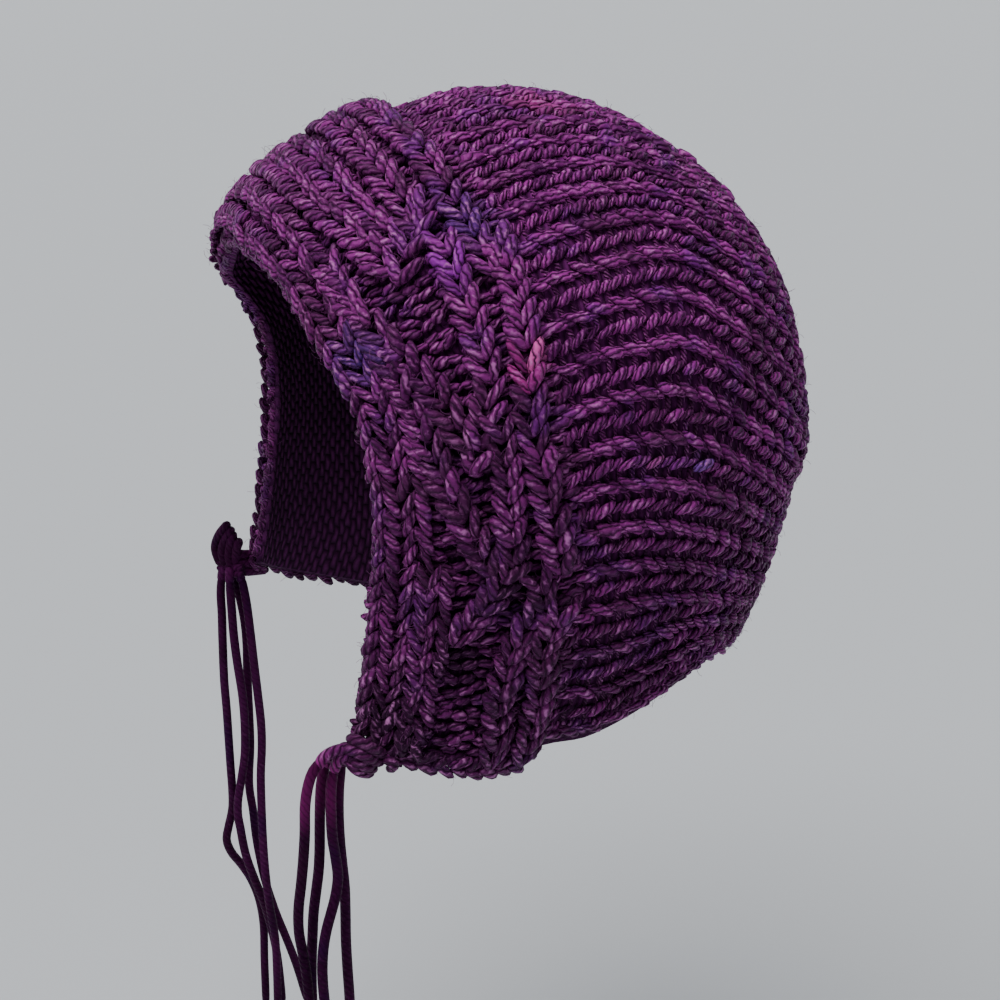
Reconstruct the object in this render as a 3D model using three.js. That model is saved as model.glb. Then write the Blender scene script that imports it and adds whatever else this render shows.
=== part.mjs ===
// Hand-knit baby bonnet: a braided front band, a ribbed stockinette crown and two yarn ties.
// Millimetres, +Z up, the face opening towards -Y, the wearer's left towards +X.
// The origin is where the inside of the crown rests on the top of the head.
import * as THREE from "three";

// Driving sizes of the worn form
const formRadius = 55.7; // outer face of the knit over the round of the head
const wallThickness = 3.7; // stockinette in worsted yarn, rib top to inner face
const napeDepth = 86; // half height of the oval that the lower half follows
const centreZ = wallThickness - formRadius; // centre of the round, under the crown
const flare = { reach: 15, depth: 50, most: 1.3, bearing: 44, spread: 26 }; // the front corners stand forward
// The back lies a little flat under the crown and full at mid height. height is degrees above level.
const behindFrom = -0.05; // share of the radius behind the middle where the back begins
const behindBlend = 0.3;
const settle = [
  { lift: -1.3, height: 54, spread: 24 },
  { lift: 1.9, height: -7, spread: 9 },
];

// Sizes of the knit
const yarnDiameter = 1.9;
const columnsPerSide = 19; // wales from the top of the crown down to the neck edge
const ribDepth = 1.3; // groove between two stretched wales
const pieceGap = 0.35;
const crownHem = 2.6; // degrees of girth that the crown's neck edge stays above the band's

// The wales fan out from the band and meet at the seam down the centre back. Places down the side are
// shares from the top, 0, to the neck edge, 1. Lengths are shares of the form's radius.
const topWales = { shift: 0.29, over: 3 }; // wales past the first three lie this share of a wale lower
const seam = { top: -6, nape: -45.2, from: 0.19, to: 0.95, even: 0.15 }; // degrees below level
const wale = { leave: 0.39, rise: 0.5, riseBy: 0.35, arrive: 0.3, turnBy: 0.6, fade: 0.7 };
const earArch = { lift: 0.1, back: 0.313, reach: 0.217, side: 0.365, spread: 0.24 };
const neckEdge = { from: 0.75, start: 0.15 };
const neckBends = [
  { lift: 0.112, back: 0.375, reach: 0.218 },
  { lift: -0.078, back: -0.034, reach: 0.273 },
];

// Fineness of the faceted walls
const bodyGrid = { around: 4 * columnsPerSide, outer: 14, inner: 5 };
const bandGrid = { around: 84, outer: 24, inner: 4 };

// Both edges of the front band. girth is degrees about the Y axis from the top of the head,
// front and rear are how far forward each edge lies, as a share of the form's radius.
const bandEdges = [
  { girth: 0, front: -0.86, rear: -0.3 },
  { girth: 25, front: -0.84, rear: -0.293 },
  { girth: 45, front: -0.812, rear: -0.256 },
  { girth: 60, front: -0.779, rear: -0.207 },
  { girth: 75, front: -0.719, rear: -0.168 },
  { girth: 90, front: -0.692, rear: -0.142 },
  { girth: 105, front: -0.666, rear: -0.121 },
  { girth: 120, front: -0.639, rear: -0.115 },
  { girth: 133, front: -0.582, rear: -0.129 },
  { girth: 145.5, front: -0.504, rear: -0.156 },
];
const bandEnd = bandEdges.at(-1).girth;

// The braid's ropes on one side. girth as above, across runs from the front edge, 0, to the rear, 1.
const ropes = [
  { name: "edge", line: [[0, 0.09], [60, 0.1], [105, 0.09], [146, 0.11]] },
  { name: "second", line: [[0, 0.23], [60, 0.235], [105, 0.25], [146, 0.25]] },
  { name: "forehead", line: [[0, 0.36], [24, 0.37], [36, 0.44], [47, 0.49]] },
  { name: "upper", line: [[0, 0.47], [24, 0.49], [33, 0.53], [42, 0.57]] },
  { name: "middle", line: [[0, 0.65], [16, 0.65], [34, 0.68], [41, 0.68]] },
  { name: "crest", line: [[0, 0.8], [12, 0.8], [24, 0.86], [40, 0.87], [52, 0.9]] },
  { name: "turn", line: [[34, 0.81], [38, 0.72], [43, 0.63], [50, 0.51]] },
  { name: "cheek", line: [[43, 0.76], [56, 0.73], [71, 0.71], [81, 0.61], [87, 0.54]] },
  { name: "leaving", line: [[38, 0.26], [53, 0.27], [64, 0.37], [77, 0.48], [83, 0.53]] },
  { name: "jaw", line: [[60, 0.3], [73, 0.31], [89, 0.38], [101, 0.52], [107, 0.6]] },
  { name: "ear", line: [[44, 0.97], [57, 0.95], [71, 0.88], [80, 0.84], [94, 0.88], [106, 0.93]] },
  { name: "return", line: [[78, 0.7], [98, 0.69], [104, 0.71], [110, 0.64], [121, 0.46]] },
  { name: "hook", line: [[106, 0.8], [112, 0.86], [121, 0.73], [130, 0.71], [146, 0.79]] },
  { name: "chin", line: [[108, 0.36], [124, 0.37], [134, 0.34], [146, 0.34]] },
  { name: "hem", line: [[112, 0.94], [121, 0.87], [133, 0.92], [146, 0.94]] },
];
const rope = { half: 0.072, height: 3.3 }; // half width as a share of the band, height over the recess
const recessLift = -0.9; // purl ground between the ropes
const innerShare = 0.85; // how much of the rise the inner face follows
const crest = { lift: 3.6, spread: 40, middle: 0.4, reach: 0.55 }; // the band rolls up over the brow
const brows = [
  { lift: 5.6, girth: -47, spread: 24, middle: 0.22, reach: 0.38 }, // more so on the right
  { lift: 4, girth: -66, spread: 12, middle: 0.05, reach: 0.4 },
];
const hemFade = { from: 140, over: 6, share: 0.5 }; // the ropes sink towards the lower end
const cornerFade = { from: 134, over: 6, across: 0.36, blend: 0.1 }; // and under the wraps
const rearLip = { from: 0.93, lift: 0.6 }; // the last stretch of the band meets the crown

// The wraps that hold the ties at the front corners, as lines over the band
const wraps = {
  tie_knot_left: {
    radius: 2.2,
    line: [
      { girth: 147, across: -0.08, lift: 3.5 },
      { girth: 146.2, across: -0.03, lift: 3.6 },
      { girth: 145.4, across: 0.03, lift: 3.6 },
      { girth: 144.8, across: 0.11, lift: 3.6 },
      { girth: 144.3, across: 0.18, lift: 3.6 },
      { girth: 144, across: 0.25, lift: 3.6 },
    ],
  },
  tie_knot_right: {
    radius: 2.8,
    line: [
      { girth: -136.6, across: -0.04, lift: 4.4 },
      { girth: -139.1, across: -0.07, lift: 4.6 },
      { girth: -142.3, across: -0.06, lift: 4.6 },
      { girth: -144.6, across: 0.02, lift: 4.4 },
    ],
  },
};
const wrapLobe = 0.3; // the turns of yarn stand out from the wrap
const wrapSides = 15;
const wrapSteps = 10;

// Routes of the free tie strands, from the wrap down
const strands = {
  tie_left_1: [
    [44.5, -48.6, -101.4], [44.6, -50.2, -103.0], [44.8, -51.3, -105.6], [44.8, -52.0, -109.5],
    [44.6, -52.2, -115.0], [44.4, -52.6, -120.2], [44.2, -53.1, -125.0], [44.0, -53.7, -130.0],
    [44.0, -53.8, -134.6], [44.2, -53.3, -139.0], [44.4, -52.8, -144.0], [44.6, -52.5, -150.0],
    [44.6, -52.2, -158.0], [44.4, -51.6, -167.0], [44.2, -51.0, -177.0], [44.2, -50.8, -187.0],
    [44.4, -51.0, -198.0], [44.6, -51.2, -209.0],
  ],
  tie_left_2: [
    [41.6, -47.0, -103.6], [41.3, -47.7, -105.2], [41.1, -48.2, -108.0], [41.0, -48.5, -112.0],
    [41.0, -48.7, -116.4], [41.2, -48.9, -120.6], [41.2, -49.2, -124.6], [41.2, -49.8, -128.8],
    [41.2, -50.4, -133.0], [41.3, -50.8, -138.0], [41.4, -51.2, -144.0], [41.4, -51.3, -150.9],
    [41.3, -51.0, -160.0], [41.1, -50.2, -170.0], [41.0, -49.4, -180.0], [41.0, -49.0, -191.0],
    [41.2, -48.8, -202.0], [41.2, -48.8, -212.0],
  ],
  tie_left_3: [
    [44.3, -46.5, -103.5], [44.4, -47.0, -105.4], [44.4, -47.3, -108.0], [44.4, -47.4, -112.3],
    [44.4, -47.3, -116.8], [44.3, -46.8, -121.0], [44.2, -46.5, -125.0], [44.6, -47.2, -128.6],
    [45.0, -48.2, -131.6], [45.4, -49.2, -134.6], [45.8, -50.0, -138.4], [46.4, -50.4, -143.0],
    [46.8, -50.2, -149.0], [46.9, -49.4, -158.0], [46.7, -48.5, -168.0], [46.5, -47.9, -179.0],
    [46.4, -47.8, -190.0], [46.6, -48.0, -206.0],
  ],
  tie_left_4: [
    [41.9, -44.6, -103.3], [41.5, -45.0, -107.4], [41.3, -45.2, -110.4], [41.2, -45.3, -114.8],
    [41.2, -45.2, -119.6], [41.2, -44.9, -124.4], [41.2, -44.6, -129.0], [41.2, -44.6, -134.0],
    [41.3, -44.7, -139.6], [41.4, -44.6, -145.6], [41.5, -44.4, -152.5], [41.6, -44.4, -162.0],
    [41.8, -44.8, -173.0], [42.0, -45.3, -184.0], [42.0, -45.5, -195.0], [41.8, -45.4, -210.0],
  ],
  tie_right_1: [
    [-44.6, -48.2, -102.0], [-44.3, -48.6, -106.0], [-44.2, -48.6, -110.5], [-44.0, -48.8, -117.2],
    [-44.0, -48.9, -125.9], [-44.0, -48.7, -132.8], [-44.0, -48.6, -140.0], [-44.0, -48.5, -147.1],
    [-44.0, -48.4, -152.6], [-44.0, -48.6, -157.1], [-44.1, -49.6, -161.4], [-44.3, -50.2, -164.8],
    [-44.7, -49.2, -168.4], [-45.1, -47.0, -172.2], [-45.4, -44.9, -176.6], [-45.5, -43.3, -182.2],
    [-45.5, -42.6, -189.0], [-45.4, -42.8, -198.0], [-45.4, -42.9, -210.0],
  ],
  tie_right_2: [
    [-42.1, -47.0, -101.9], [-41.4, -47.0, -107.0], [-41.4, -46.8, -114.7], [-41.4, -46.3, -121.5],
    [-41.4, -45.6, -128.8], [-41.4, -45.4, -135.7], [-41.4, -45.7, -142.7], [-41.4, -46.7, -148.6],
    [-41.4, -47.7, -153.8], [-41.4, -47.9, -157.5], [-41.4, -47.5, -161.0], [-41.4, -47.1, -164.6],
    [-41.4, -46.4, -168.8], [-41.4, -44.9, -174.4], [-41.5, -42.9, -181.3], [-41.6, -41.3, -189.5],
    [-41.6, -40.4, -197.0], [-41.6, -39.8, -208.0],
  ],
  tie_right_3: [
    [-44.6, -45.4, -101.9], [-44.2, -44.4, -108.4], [-44.2, -43.8, -113.1], [-44.2, -43.6, -118.5],
    [-44.2, -43.8, -126.7], [-44.2, -43.8, -134.4], [-44.2, -43.9, -142.4], [-44.2, -44.5, -149.6],
    [-44.2, -44.5, -153.6], [-44.2, -44.0, -158.4], [-44.2, -43.6, -165.1], [-44.1, -42.9, -171.1],
    [-44.0, -42.0, -176.8], [-43.9, -40.0, -185.2], [-43.9, -37.9, -192.2], [-43.9, -35.7, -200.1],
    [-43.9, -33.4, -210.5],
  ],
  tie_right_4: [
    [-42.1, -44.4, -101.8], [-41.1, -43.8, -107.4], [-41.0, -43.3, -114.1], [-41.0, -42.8, -121.9],
    [-41.0, -42.3, -129.1], [-41.0, -41.9, -136.1], [-41.0, -42.0, -141.9], [-41.0, -42.5, -148.4],
    [-40.8, -42.7, -155.6], [-40.0, -42.9, -162.0], [-39.0, -43.0, -168.4], [-38.5, -42.8, -174.6],
    [-38.4, -42.3, -181.0], [-38.4, -41.5, -188.4], [-38.5, -41.4, -196.6], [-38.5, -41.6, -207.0],
  ],
};
const strandSides = 8;
const strandStep = 5.4; // a facet ring every two to three diameters

const colours = { band: 0x5a1450, crown: 0x641a5a, tie: 0x4c1246 };
const knit = (color) => new THREE.MeshStandardMaterial({ color, roughness: 0.85, metalness: 0 });

const radians = THREE.MathUtils.degToRad;
const clamp01 = (x) => Math.min(1, Math.max(0, x));
const smooth01 = (x) => THREE.MathUtils.smoothstep(x, 0, 1);

// A smooth curve through the rows of a table, level at its first row.
function alongTable(rows, key, value, at) {
  const last = rows.length - 1;
  const x = THREE.MathUtils.clamp(at, rows[0][key], rows[last][key]);
  let i = 0;
  while (i < last - 1 && x > rows[i + 1][key]) i += 1;
  const slope = (k) => {
    if (k <= 0) return 0;
    const next = Math.min(k + 1, last);
    return (rows[next][value] - rows[k - 1][value]) / (rows[next][key] - rows[k - 1][key]);
  };
  const span = rows[i + 1][key] - rows[i][key];
  const t = (x - rows[i][key]) / span;
  const ease = t * t * (3 - 2 * t);
  const leave = t * (1 - t) * (1 - t) * slope(i) * span;
  const arrive = t * t * (1 - t) * slope(i + 1) * span;
  return THREE.MathUtils.lerp(rows[i][value], rows[i + 1][value], ease) + leave - arrive;
}

// The point of the worn form that lies in a direction from its centre, raised along the normal.
function formPoint(direction, lift) {
  const d = direction.clone().normalize();
  const half = d.z >= 0 ? formRadius : napeDepth;
  const reach = 1 / Math.sqrt((d.x * d.x + d.y * d.y) / formRadius ** 2 + (d.z * d.z) / half ** 2);
  const p = d.clone().multiplyScalar(reach);
  const normal = new THREE.Vector3(p.x, p.y, p.z * (formRadius / half) ** 2).normalize();
  const bearing = THREE.MathUtils.radToDeg(Math.atan2(Math.abs(p.x), -p.y));
  const down = THREE.MathUtils.clamp(-p.z / flare.depth, 0, flare.most);
  const near = Math.exp(-(((bearing - flare.bearing) / flare.spread) ** 2));
  const level = new THREE.Vector3(p.x, p.y, 0).normalize();
  const height = THREE.MathUtils.radToDeg(Math.asin(d.z));
  const behind = clamp01((d.y - behindFrom) / behindBlend);
  const bell = (at, middle, spread) => Math.exp(-(((at - middle) / spread) ** 2));
  const sunk = settle.reduce((sum, s) => sum + s.lift * bell(height, s.height, s.spread), 0);
  p.addScaledVector(level, flare.reach * down * down * near);
  p.addScaledVector(normal, lift + sunk * behind);
  p.z += centreZ;
  return p;
}

// A direction from the girth angle in degrees and the share of the radius it lies back.
function directionAt(girth, back) {
  const around = Math.sqrt(Math.max(0, 1 - back * back));
  const a = radians(girth);
  return new THREE.Vector3(around * Math.sin(a), back, around * Math.cos(a));
}

// Direction of a spot on the band; across is 0 at the front edge and 1 at the rear.
function bandDirection(girth, across) {
  const front = Math.asin(alongTable(bandEdges, "girth", "front", Math.abs(girth)));
  const rear = Math.asin(alongTable(bandEdges, "girth", "rear", Math.abs(girth)));
  return directionAt(girth, Math.sin(THREE.MathUtils.lerp(front, rear, across)));
}

// How far across the band a rope lies at a girth, or null past its ends.
function ropeAcross(line, girth) {
  for (let i = 1; i < line.length; i += 1) {
    const [g0, a0] = line[i - 1];
    const [g1, a1] = line[i];
    if (girth >= g0 && girth <= g1) {
      return THREE.MathUtils.mapLinear(girth, g0, g1, a0, a1);
    }
  }
  return null;
}

// How far the whole band rises off the form where it rolls up at the brow.
function bandRise(girth, across) {
  const over = Math.exp(-((girth / crest.spread) ** 2));
  const roll = Math.max(0, 1 - ((across - crest.middle) / crest.reach) ** 2);
  return brows.reduce((sum, b) => {
    const aside = Math.exp(-(((girth - b.girth) / b.spread) ** 2));
    const curl = Math.max(0, 1 - ((across - b.middle) / b.reach) ** 2);
    return sum + b.lift * aside * curl;
  }, crest.lift * over * Math.sqrt(roll));
}

// Height of the band's outer face over the form.
function bandLift(girth, across) {
  const g = Math.abs(girth);
  let ridge = 0;
  for (const { line } of ropes) {
    const centre = ropeAcross(line, g);
    if (centre === null) continue;
    const off = (across - centre) / rope.half;
    ridge = Math.max(ridge, 1 - off * off);
  }
  const inCorner = clamp01((cornerFade.across - across) / cornerFade.blend);
  const corner = clamp01((g - cornerFade.from) / cornerFade.over) * inCorner;
  const hem = clamp01((g - hemFade.from) / hemFade.over);
  const sink = 1 - hemFade.share * Math.max(corner, hem);
  const rear = clamp01((across - rearLip.from) / (1 - rearLip.from));
  const ropeHeight = rope.height * Math.sqrt(ridge) * sink * (1 - rear);
  return recessLift + ropeHeight + bandRise(girth, across) + rearLip.lift * rear;
}

// Side of a wale, -1 to 1, from its number: 0 runs over the top, whole numbers are ribs, halves grooves.
function waleSide(number) {
  const n = Math.abs(number);
  const side = (n + topWales.shift * smooth01(n / topWales.over)) / columnsPerSide;
  return Math.sign(number) * Math.min(side, 1);
}

// Number of the wale or groove at each step around the crown's wall.
function waleNumber(step) {
  const last = columnsPerSide - topWales.shift;
  return THREE.MathUtils.clamp(step / 2 - columnsPerSide, -last, last);
}

// Direction of a spot on the crown: side runs -1 to 1 over the head, along 0 at the band to 1 at the seam.
function crownDirection(side, along) {
  const share = Math.abs(side);
  const hand = side < 0 ? -1 : 1;
  const girth = side * (bandEnd - crownHem);
  const turn = radians(girth);
  const rear = alongTable(bandEdges, "girth", "rear", Math.abs(girth));
  const start = directionAt(girth, rear + pieceGap / formRadius);
  const fold = smooth01((share - seam.from) / (seam.to - seam.from));
  const low = radians(THREE.MathUtils.lerp(seam.top, seam.nape, THREE.MathUtils.lerp(fold, share, seam.even)));
  const end = new THREE.Vector3(0, Math.cos(low), Math.sin(low));
  const back = new THREE.Vector3(0, 1, 0).addScaledVector(start, -start.y).normalize();
  const up = new THREE.Vector3(-hand * Math.cos(turn), 0, hand * Math.sin(turn));
  const rise = wale.rise * smooth01(share / wale.riseBy);
  const leave = start.clone().addScaledVector(back, wale.leave).addScaledVector(up, wale.leave * rise);
  const swing = (Math.PI / 2) * smooth01(share / wale.turnBy);
  const sideways = new THREE.Vector3(
    hand * Math.sin(swing),
    -Math.cos(swing) * Math.sin(low),
    Math.cos(swing) * Math.cos(low),
  );
  const arrive = end.clone().addScaledVector(sideways, wale.arrive);
  const direction = new THREE.CubicBezierCurve3(start, leave, arrive, end).getPoint(along).normalize();
  direction.z += crownRaise(share, along, direction.y);
  return direction;
}

// How far the wales are lifted over the ear, and the lowest ones along the neck.
function crownRaise(share, along, y) {
  const bell = (at, middle, spread) => Math.exp(-(((at - middle) / spread) ** 2));
  const arch = bell(y, earArch.back, earArch.reach) * bell(share, earArch.side, earArch.spread);
  const edge = smooth01((share - neckEdge.from) / (1 - neckEdge.from)) * smooth01(along / neckEdge.start);
  const bends = neckBends.reduce((sum, b) => sum + b.lift * bell(y, b.back, b.reach), 0);
  return earArch.lift * arch + edge * bends;
}

// Outer face of the crown: a rib for each wale, fading where they crowd together at the seam.
function crownLift(number, along) {
  const fade = 1 - wale.fade * along ** 3;
  return (-ribDepth * fade * (1 - Math.cos(2 * Math.PI * number))) / 2;
}

// A wall between two faces, closed along its free edges. Each face is a function of the step around
// and the share of the way across. Where folded is true, the far edge is sewn to itself, left half on right half.
function wallGeometry({ grid, outer, inner, folded }) {
  const positions = [];
  const faces = [];
  const face = (rows, at) => {
    const index = [];
    for (let j = 0; j <= rows; j += 1) {
      index.push([]);
      for (let i = 0; i <= grid.around; i += 1) {
        if (folded && j === rows && i > grid.around / 2) {
          index[j].push(index[j][grid.around - i]);
          continue;
        }
        const p = at(i, j / rows);
        index[j].push(positions.length / 3);
        positions.push(p.x, p.y, p.z);
      }
    }
    return index;
  };
  const quad = (a, b, c, d, flip) => {
    if (flip) faces.push(a, c, b, a, d, c);
    else faces.push(a, b, c, a, c, d);
  };
  const skin = (index, flip) => {
    for (let j = 0; j < index.length - 1; j += 1) {
      for (let i = 0; i < grid.around; i += 1) {
        quad(index[j][i], index[j][i + 1], index[j + 1][i + 1], index[j + 1][i], flip);
      }
    }
  };
  const top = face(grid.outer, outer);
  const under = face(grid.inner, inner);
  skin(top, false);
  skin(under, true);
  for (let i = 0; i < grid.around; i += 1) {
    quad(top[0][i], top[0][i + 1], under[0][i + 1], under[0][i], true);
    if (folded) continue;
    const t = top.at(-1);
    const u = under.at(-1);
    quad(t[i], t[i + 1], u[i + 1], u[i], false);
  }
  // The two end edges have more rows outside than inside, so their strips are zipped.
  for (const [i, flip] of [[0, true], [grid.around, false]]) {
    let a = 0;
    let b = 0;
    while (a < grid.outer || b < grid.inner) {
      const outerNext = b === grid.inner || (a < grid.outer && (a + 1) / grid.outer <= (b + 1) / grid.inner);
      const first = top[a][i];
      const second = under[b][i];
      const third = outerNext ? top[a + 1][i] : under[b + 1][i];
      if (flip) faces.push(first, third, second);
      else faces.push(first, second, third);
      if (outerNext) a += 1;
      else b += 1;
    }
  }
  const geometry = new THREE.BufferGeometry();
  geometry.setAttribute("position", new THREE.Float32BufferAttribute(positions, 3));
  geometry.setIndex(faces);
  geometry.computeVertexNormals();
  return geometry;
}

function frontBand() {
  const girthOf = (step) => ((2 * step) / bandGrid.around - 1) * bandEnd;
  return wallGeometry({
    grid: bandGrid,
    outer: (step, across) =>
      formPoint(bandDirection(girthOf(step), across), bandLift(girthOf(step), across)),
    inner: (step, across) => {
      const rise = innerShare * bandRise(girthOf(step), across);
      return formPoint(bandDirection(girthOf(step), across), rise - wallThickness);
    },
    folded: false,
  });
}

function crownBody() {
  const spot = (step, along) => crownDirection(waleSide(waleNumber(step)), along);
  return wallGeometry({
    grid: bodyGrid,
    outer: (step, along) => formPoint(spot(step, along), crownLift(waleNumber(step), along)),
    inner: (step, along) => formPoint(spot(step, along), -wallThickness),
    folded: true,
  });
}

// A closed tube along a smooth line of points.
function tube(points, section, steps) {
  const path = new THREE.CatmullRomCurve3(points, false, "centripetal");
  return new THREE.ExtrudeGeometry(section, { steps, extrudePath: path, curveSegments: 1 });
}

function roundSection(sides, radiusAt) {
  const corners = Array.from({ length: sides }, (_, k) => {
    const a = (2 * Math.PI * k) / sides;
    return new THREE.Vector2(radiusAt(a) * Math.cos(a), radiusAt(a) * Math.sin(a));
  });
  return new THREE.Shape(corners);
}

// Turns of yarn side by side, round the corner of the band.
function tieWrap({ radius, line }) {
  const points = line.map(({ girth, across, lift }) => formPoint(bandDirection(girth, across), lift));
  const section = roundSection(wrapSides, (a) => radius + wrapLobe * Math.cos(3 * a));
  return tube(points, section, wrapSteps);
}

function tieStrand(route) {
  const points = route.map(([x, y, z]) => new THREE.Vector3(x, y, z));
  const length = points.slice(1).reduce((sum, p, i) => sum + p.distanceTo(points[i]), 0);
  const section = roundSection(strandSides, () => yarnDiameter / 2);
  return tube(points, section, Math.round(length / strandStep));
}

const bonnet = new THREE.Group();
const shell = new THREE.Group();
const ties = new THREE.Group();
bonnet.add(shell, ties);

function place(group, name, geometry, colour) {
  const mesh = new THREE.Mesh(geometry, knit(colour));
  mesh.name = name;
  group.add(mesh);
}

place(shell, "front_band", frontBand(), colours.band);
place(shell, "crown_body", crownBody(), colours.crown);
for (const [name, wrap] of Object.entries(wraps)) {
  place(ties, name, tieWrap(wrap), colours.tie);
}
for (const [name, route] of Object.entries(strands)) {
  place(ties, name, tieStrand(route), colours.tie);
}

export default bonnet;
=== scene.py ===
import bmesh
import bpy
import numpy as np
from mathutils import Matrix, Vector


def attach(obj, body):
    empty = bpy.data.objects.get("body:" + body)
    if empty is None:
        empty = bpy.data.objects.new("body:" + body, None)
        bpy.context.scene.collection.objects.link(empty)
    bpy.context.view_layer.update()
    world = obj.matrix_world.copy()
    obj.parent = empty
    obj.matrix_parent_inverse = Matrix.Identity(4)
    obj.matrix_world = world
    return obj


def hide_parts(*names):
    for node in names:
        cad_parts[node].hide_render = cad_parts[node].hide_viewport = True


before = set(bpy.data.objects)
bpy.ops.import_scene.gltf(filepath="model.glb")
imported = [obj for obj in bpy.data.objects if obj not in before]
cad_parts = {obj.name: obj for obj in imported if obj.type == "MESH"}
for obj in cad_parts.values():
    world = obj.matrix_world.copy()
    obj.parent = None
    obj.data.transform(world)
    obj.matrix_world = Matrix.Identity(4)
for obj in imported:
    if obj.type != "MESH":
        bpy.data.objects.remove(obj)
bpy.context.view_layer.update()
mm = 0.001


# Camera, at the photograph's angle to the bonnet
camera = {"place": (0.3354, -0.1167, 0.0540), "towards": (-0.8885, 0.3059, -0.3420), "lens": 70.1}


def addCamera():
    data = bpy.data.cameras.new("camera")
    data.lens, data.sensor_width = camera["lens"], 36
    data.clip_start, data.clip_end = 0.01, 20
    obj = bpy.data.objects.new("camera", data)
    obj.location = camera["place"]
    obj.rotation_mode = "QUATERNION"
    obj.rotation_quaternion = Vector(camera["towards"]).to_track_quat("-Z", "Y")
    bpy.context.collection.objects.link(obj)
    bpy.context.scene.camera = obj


addCamera()


# Small helpers for arrays of points
def unit(v):
    return v / np.maximum(np.linalg.norm(v, axis=-1, keepdims=True), 1e-12)


def smooth01(x):
    x = np.clip(x, 0, 1)
    return x * x * (3 - 2 * x)


def bell(at, middle, spread):
    return np.exp(-(((at - middle) / spread) ** 2))


def sameShape(*values):
    return np.broadcast_arrays(*(np.asarray(v, float) for v in values))


# The worn form, by the same rule and sizes as the solids
form = {
    "radius": 55.7 * mm, "wall": 3.7 * mm, "nape": 86 * mm,
    "flareReach": 15 * mm, "flareDepth": 50 * mm, "flareMost": 1.3,
    "flareBearing": 44, "flareSpread": 26,
    "behindFrom": -0.05, "behindBlend": 0.3,
    "settle": [(-1.3 * mm, 54, 24), (1.9 * mm, -7, 9)],  # lift, degrees above level, spread
}
form["centreZ"] = form["wall"] - form["radius"]

# girth in degrees, front and rear edge of the band as shares of the radius
bandEdges = np.array([
    (0, -0.86, -0.3), (25, -0.84, -0.293), (45, -0.812, -0.256), (60, -0.779, -0.207),
    (75, -0.719, -0.168), (90, -0.692, -0.142), (105, -0.666, -0.121), (120, -0.639, -0.115),
    (133, -0.582, -0.129), (145.5, -0.504, -0.156),
])
bandEnd = 145.5
crest = {"lift": 3.6 * mm, "spread": 40, "middle": 0.4, "reach": 0.55}
brows = [
    {"lift": 5.6 * mm, "girth": -47, "spread": 24, "middle": 0.22, "reach": 0.38},
    {"lift": 4 * mm, "girth": -66, "spread": 12, "middle": 0.05, "reach": 0.4},
]
crown = {
    "perSide": 19, "shift": 0.29, "over": 3, "hem": 2.6, "gap": 0.35 * mm, "top": -6, "nape": -45.2,
    "foldFrom": 0.19, "foldTo": 0.95, "evenShare": 0.15, "leave": 0.39, "rise": 0.5, "riseBy": 0.35,
    "arrive": 0.3, "turnBy": 0.6,
}
# How far wales are lifted over the ear, and the lowest along the neck, as shares of the radius
earArch = {"lift": 0.1, "back": 0.313, "reach": 0.217, "side": 0.365, "spread": 0.24}
neckEdge = {"from": 0.75, "start": 0.15, "bends": [(0.112, 0.375, 0.218), (-0.078, -0.034, 0.273)]}


# A column of a table at some values of its first column, on a smooth curve
def alongTable(rows, column, at):
    x, y = rows[:, 0], rows[:, column]
    at = np.clip(np.asarray(at, float), x[0], x[-1])
    i = np.clip(np.searchsorted(x, at, side="left") - 1, 0, len(x) - 2)
    ahead = np.minimum(np.arange(2, len(x) + 1), len(x) - 1)
    slopes = np.append(0, (y[ahead] - y[:-1]) / (x[ahead] - x[:-1]))
    span = x[i + 1] - x[i]
    t = (at - x[i]) / span
    leave = t * (1 - t) ** 2 * slopes[i] * span
    arrive = t * t * (1 - t) * slopes[i + 1] * span
    return y[i] + (y[i + 1] - y[i]) * smooth01(t) + leave - arrive


# A point of the form in a direction from its middle, lifted off its surface
def formPoint(direction, lift):
    d = unit(direction)
    radius, nape = form["radius"], form["nape"]
    half = np.where(d[..., 2] >= 0, radius, nape)
    reach = 1 / np.sqrt((d[..., 0] ** 2 + d[..., 1] ** 2) / radius ** 2 + d[..., 2] ** 2 / half ** 2)
    p = d * reach[..., None]
    normal = unit(p * np.stack([np.ones_like(half), np.ones_like(half), (radius / half) ** 2], -1))
    bearing = np.degrees(np.arctan2(np.abs(p[..., 0]), -p[..., 1]))
    down = np.clip(-p[..., 2] / form["flareDepth"], 0, form["flareMost"])
    near = bell(bearing, form["flareBearing"], form["flareSpread"])
    level = unit(p * np.array([1, 1, 0]))
    height = np.degrees(np.arcsin(np.clip(d[..., 2], -1, 1)))
    behind = np.clip((d[..., 1] - form["behindFrom"]) / form["behindBlend"], 0, 1)
    sunk = sum(depth * bell(height, middle, spread) for depth, middle, spread in form["settle"])
    out = p + level * (form["flareReach"] * down * down * near)[..., None]
    out = out + normal * (lift + sunk * behind)[..., None]
    out[..., 2] += form["centreZ"]
    return out


def directionAt(girth, back):
    around = np.sqrt(np.maximum(0, 1 - back * back))
    a = np.radians(girth)
    return np.stack([around * np.sin(a), back + 0 * a, around * np.cos(a)], -1)


def bandRise(girth, across):
    over = bell(girth, 0, crest["spread"])
    roll = np.maximum(0, 1 - ((across - crest["middle"]) / crest["reach"]) ** 2)
    rise = crest["lift"] * over * np.sqrt(roll)
    for b in brows:
        roll = np.maximum(0, 1 - ((across - b["middle"]) / b["reach"]) ** 2)
        rise = rise + b["lift"] * bell(girth, b["girth"], b["spread"]) * roll
    return rise


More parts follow.
